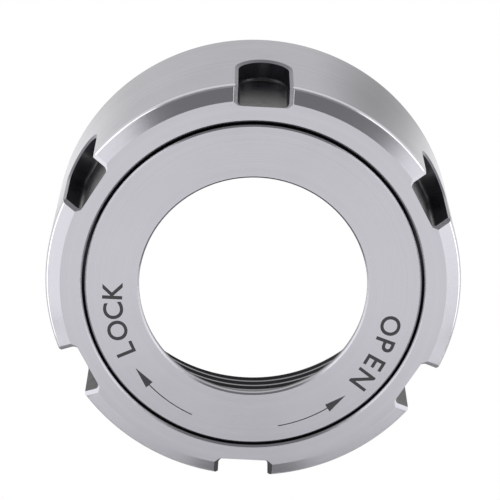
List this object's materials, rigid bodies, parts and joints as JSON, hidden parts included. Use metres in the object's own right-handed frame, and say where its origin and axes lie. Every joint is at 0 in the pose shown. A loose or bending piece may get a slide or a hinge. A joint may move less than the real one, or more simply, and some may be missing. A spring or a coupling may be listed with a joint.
{
  "type": "collet nut",
  "caption": "Round clamping nut for spring collets: threaded body with wrench slots round its front and a pressure ring that turns in it on a row of balls.",
  "frame": {"origin": "centre of the nut's rear face, which it stands on", "axes": "+Z along the nut's axis from the rear face to the marked front face, +Y through the middle of one wrench slot"},
  "size_m": [0.05, 0.05, 0.0225],
  "materials": {
    "body_steel": "turned and ground bright, black oxide left in the slots",
    "ring_steel": "ground face",
    "screw_steel": "black oxide",
    "ball_steel": "polished",
    "etched_mark": "dark laser etching"
  },
  "bodies": {
    "nut": {"nut_body": "body_steel", "filler_screw": "screw_steel"},
    "ring": {"pressure_ring": "ring_steel"},
    "ball_row": {"ball_01": "ball_steel", "ball_02": "ball_steel", "ball_03": "ball_steel", "ball_04": "ball_steel", "ball_05": "ball_steel", "ball_06": "ball_steel", "ball_07": "ball_steel", "ball_08": "ball_steel", "ball_09": "ball_steel", "ball_10": "ball_steel", "ball_11": "ball_steel", "ball_12": "ball_steel", "ball_13": "ball_steel", "ball_14": "ball_steel", "ball_15": "ball_steel", "ball_16": "ball_steel", "ball_17": "ball_steel", "ball_18": "ball_steel", "ball_19": "ball_steel", "ball_20": "ball_steel", "ball_21": "ball_steel", "ball_22": "ball_steel", "ball_23": "ball_steel", "ball_24": "ball_steel", "ball_25": "ball_steel", "ball_26": "ball_steel", "ball_27": "ball_steel", "ball_28": "ball_steel", "ball_29": "ball_steel", "ball_30": "ball_steel", "ball_31": "ball_steel", "ball_32": "ball_steel", "ball_33": "ball_steel", "ball_34": "ball_steel", "ball_35": "ball_steel", "ball_36": "ball_steel", "ball_37": "ball_steel", "ball_38": "ball_steel", "ball_39": "ball_steel", "ball_40": "ball_steel", "ball_41": "ball_steel", "ball_42": "ball_steel", "ball_43": "ball_steel", "ball_44": "ball_steel", "ball_45": "ball_steel", "ball_46": "ball_steel", "ball_47": "ball_steel", "ball_48": "ball_steel", "ball_49": "ball_steel", "ball_50": "ball_steel", "ball_51": "ball_steel"}
  },
  "joints": [
    {"name": "ring_spin", "type": "hinge", "parent": "nut", "child": "ring", "pos_m": [0, 0, 0.0169], "axis": [0, 0, 1], "continuous": true},
    {"name": "ball_orbit", "type": "hinge", "parent": "nut", "child": "ball_row", "pos_m": [0, 0, 0.0169], "axis": [0, 0, 1], "continuous": true}
  ],
  "couplings": [
    {"joint": "ball_orbit", "follows": "ring_spin", "ratio": 0.4785}
  ]
}
